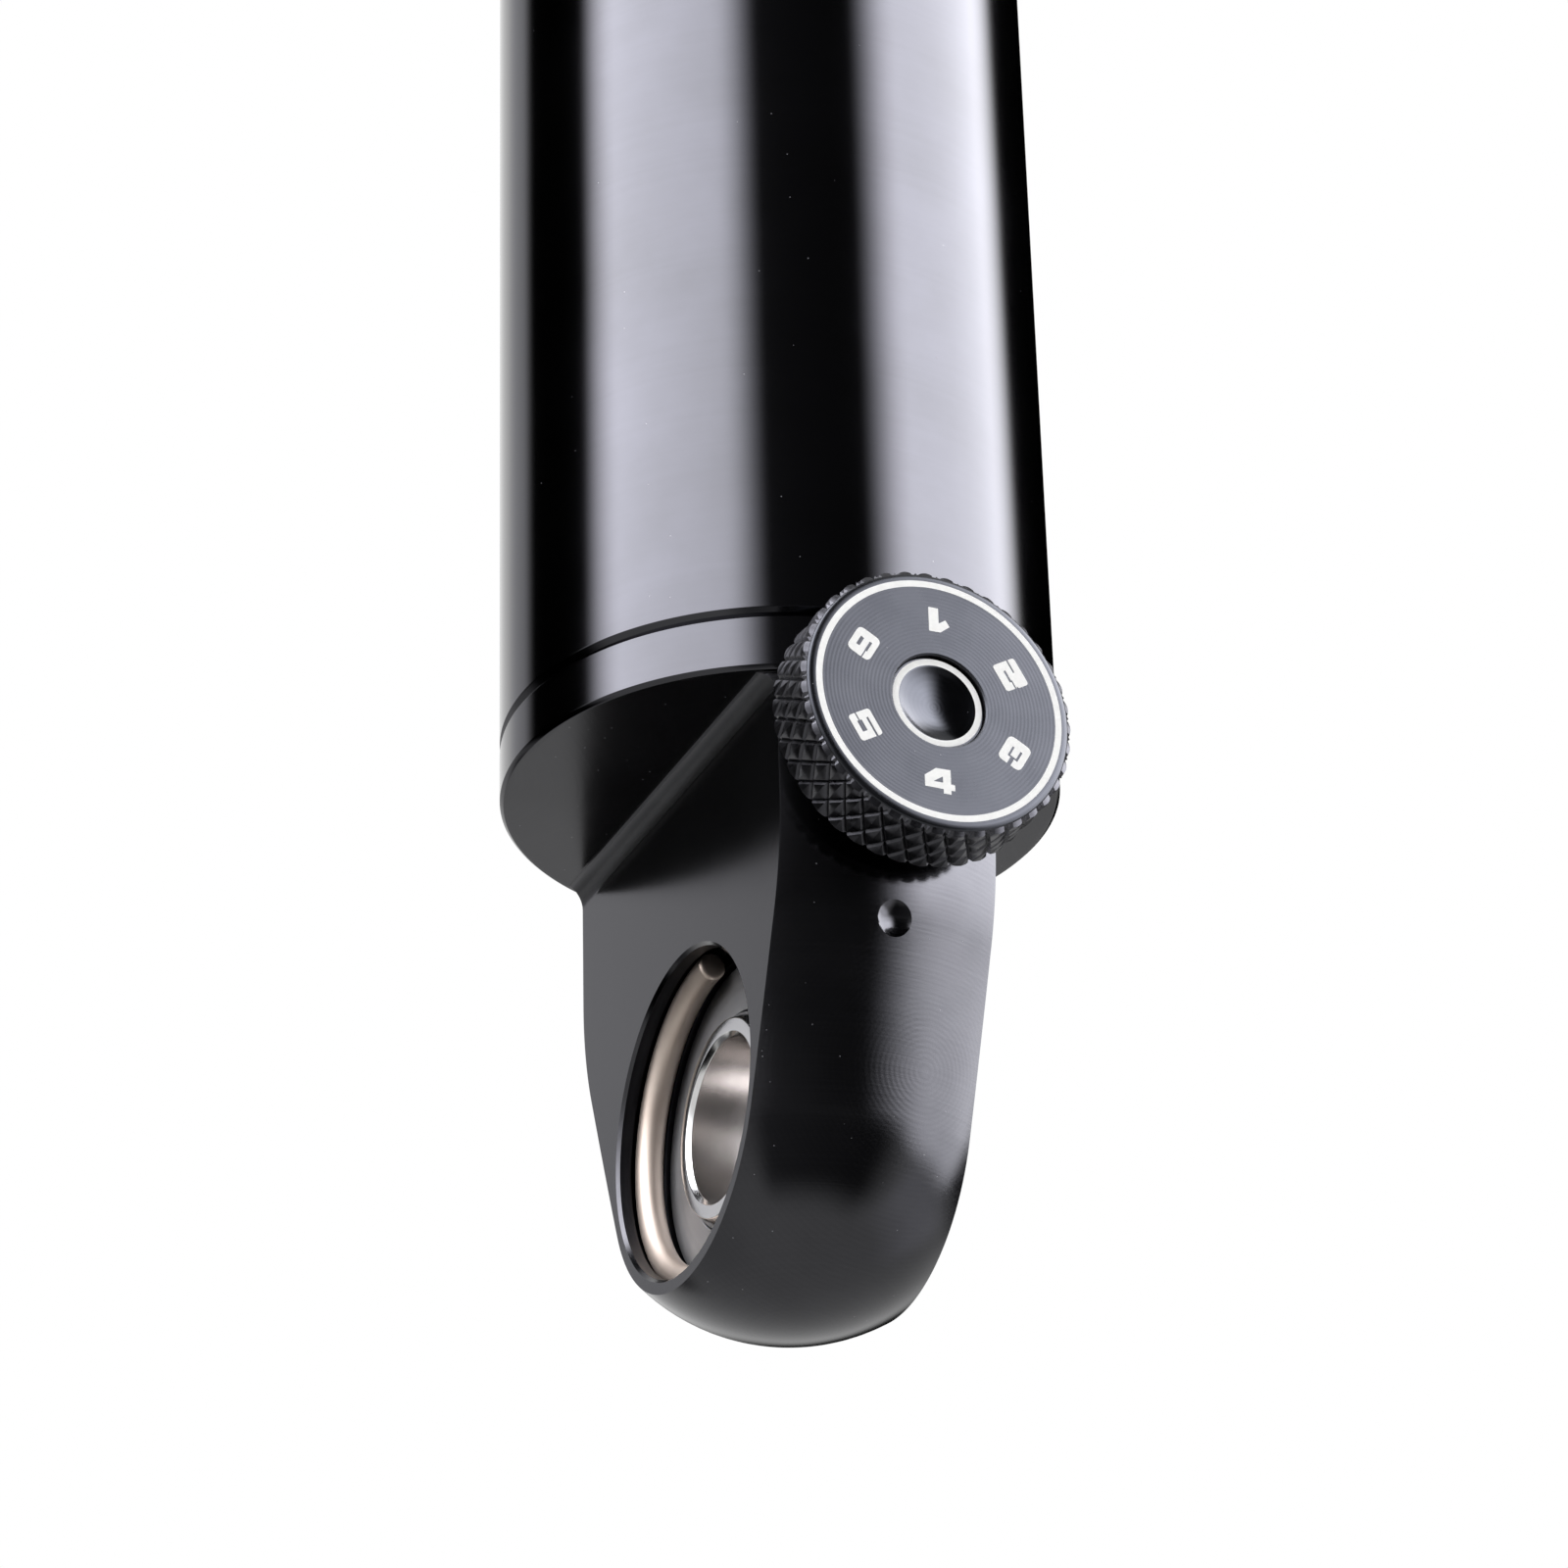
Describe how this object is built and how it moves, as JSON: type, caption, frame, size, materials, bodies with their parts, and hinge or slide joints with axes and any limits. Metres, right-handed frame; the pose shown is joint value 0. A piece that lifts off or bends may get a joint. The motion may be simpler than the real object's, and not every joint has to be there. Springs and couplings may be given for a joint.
{
  "type": "bicycle rear shock",
  "caption": "Inline air-sprung rear shock with spherical-bearing eyelets, a sliding damper body, a knurled numbered rebound dial, an air valve and a travel ring.",
  "frame": {"origin": "centre of the lower eyelet's spherical bearing, at the end with the dial", "axes": "+X along the eyelet's bolt axis, +Z along the shock towards the upper eyelet, the rebound dial faces -Y; fully extended at rest"},
  "size_m": [0.044, 0.0654, 0.2632],
  "materials": {
    "gloss_black_anodised": "polished, black anodised",
    "satin_black_anodised": "machined, satin black anodised",
    "clear_anodised": "ground, clear anodised",
    "bearing_steel": "ground",
    "ball_steel": "polished",
    "spring_steel": "drawn wire",
    "ground_steel": "ground",
    "brass": "turned",
    "bronze_bushing": "sintered",
    "black_rubber": "moulded",
    "grey_elastomer": "moulded",
    "black_plastic": "moulded"
  },
  "bodies": {
    "can": {"eyelet_cap": "satin_black_anodised", "air_can": "gloss_black_anodised", "can_oring": "black_rubber", "lower_bearing_race": "bearing_steel", "lower_snap_ring_left": "spring_steel", "lower_snap_ring_right": "spring_steel", "damper_shaft": "ground_steel", "rebound_shim_small": "bearing_steel", "rebound_shim_large": "bearing_steel", "main_piston": "clear_anodised", "piston_band": "bronze_bushing", "compression_shim_large": "bearing_steel", "compression_shim_middle": "bearing_steel", "compression_shim_small": "bearing_steel", "piston_nut": "ground_steel", "top_out_bumper": "grey_elastomer", "bottom_out_bumper": "grey_elastomer", "air_seal_head": "gloss_black_anodised", "guide_bushing": "bronze_bushing", "air_seal": "black_rubber", "can_wiper": "black_rubber", "seal_head_oring": "black_rubber", "valve_body": "brass", "valve_core": "brass", "valve_cap": "black_plastic", "spindle_gland": "brass", "detent_spring": "spring_steel"},
    "dial": {"adjuster_knob": "satin_black_anodised", "knob_cap": "satin_black_anodised", "knob_screw": "ground_steel", "adjuster_spindle": "ground_steel", "spindle_oring": "black_rubber"},
    "needle": {"metering_rod": "ground_steel"},
    "detent": {"detent_ball": "bearing_steel"},
    "valve_stem_pin": {"valve_pin": "ground_steel"},
    "lower_ball": {"lower_bearing_ball": "ball_steel"},
    "damper": {"damper_body": "clear_anodised", "upper_eyelet": "satin_black_anodised", "air_piston": "clear_anodised", "air_piston_seal": "black_rubber", "shaft_bushing": "bronze_bushing", "shaft_seal": "black_rubber", "body_oring": "black_rubber", "upper_bearing_race": "bearing_steel", "upper_snap_ring_left": "spring_steel", "upper_snap_ring_right": "spring_steel", "gas_fill_plug": "ground_steel"},
    "upper_ball": {"upper_bearing_ball": "ball_steel"},
    "float": {"floating_piston": "clear_anodised", "floating_piston_oring": "black_rubber"},
    "travel_marker": {"travel_oring": "black_rubber"}
  },
  "joints": [
    {"name": "shock_stroke", "type": "slide", "parent": "can", "child": "damper", "axis": [0, 0, -1], "range_m": [0, 0.06], "stiffness_N_per_m": 4000, "springref_m": -0.02},
    {"name": "dial_turn", "type": "hinge", "parent": "can", "child": "dial", "pos_m": [0, -0.0227, 0.02234], "axis": [0, -1, 0], "range_deg": [-180, 120]},
    {"name": "needle_lift", "type": "slide", "parent": "can", "child": "needle", "axis": [0, 0, 1], "range_m": [-0.00121, 0.00081]},
    {"name": "detent_press", "type": "slide", "parent": "can", "child": "detent", "axis": [0, 1, 0], "range_m": [0, 0.0004], "stiffness_N_per_m": 300, "springref_m": -0.001},
    {"name": "valve_pin_press", "type": "slide", "parent": "can", "child": "valve_stem_pin", "axis": [-0.4226, -0.9063, 0], "range_m": [0, 0.0012], "stiffness_N_per_m": 300, "springref_m": -0.001},
    {"name": "lower_ball_turn", "type": "hinge", "parent": "can", "child": "lower_ball", "pos_m": [0, 0, 0], "axis": [1, 0, 0], "continuous": true},
    {"name": "upper_ball_turn", "type": "hinge", "parent": "damper", "child": "upper_ball", "pos_m": [0, 0, 0.23], "axis": [1, 0, 0], "continuous": true},
    {"name": "float_slide", "type": "slide", "parent": "damper", "child": "float", "axis": [0, 0, 1], "range_m": [0, 0.0077]},
    {"name": "travel_ring_slide", "type": "slide", "parent": "damper", "child": "travel_marker", "axis": [0, 0, 1], "range_m": [0, 0.0601]}
  ],
  "couplings": [
    {"joint": "needle_lift", "follows": "dial_turn", "m_per_rad": 0.00038197},
    {"joint": "float_slide", "follows": "shock_stroke", "ratio": 0.12755},
    {"joint": "travel_ring_slide", "follows": "shock_stroke", "ratio": 1}
  ]
}
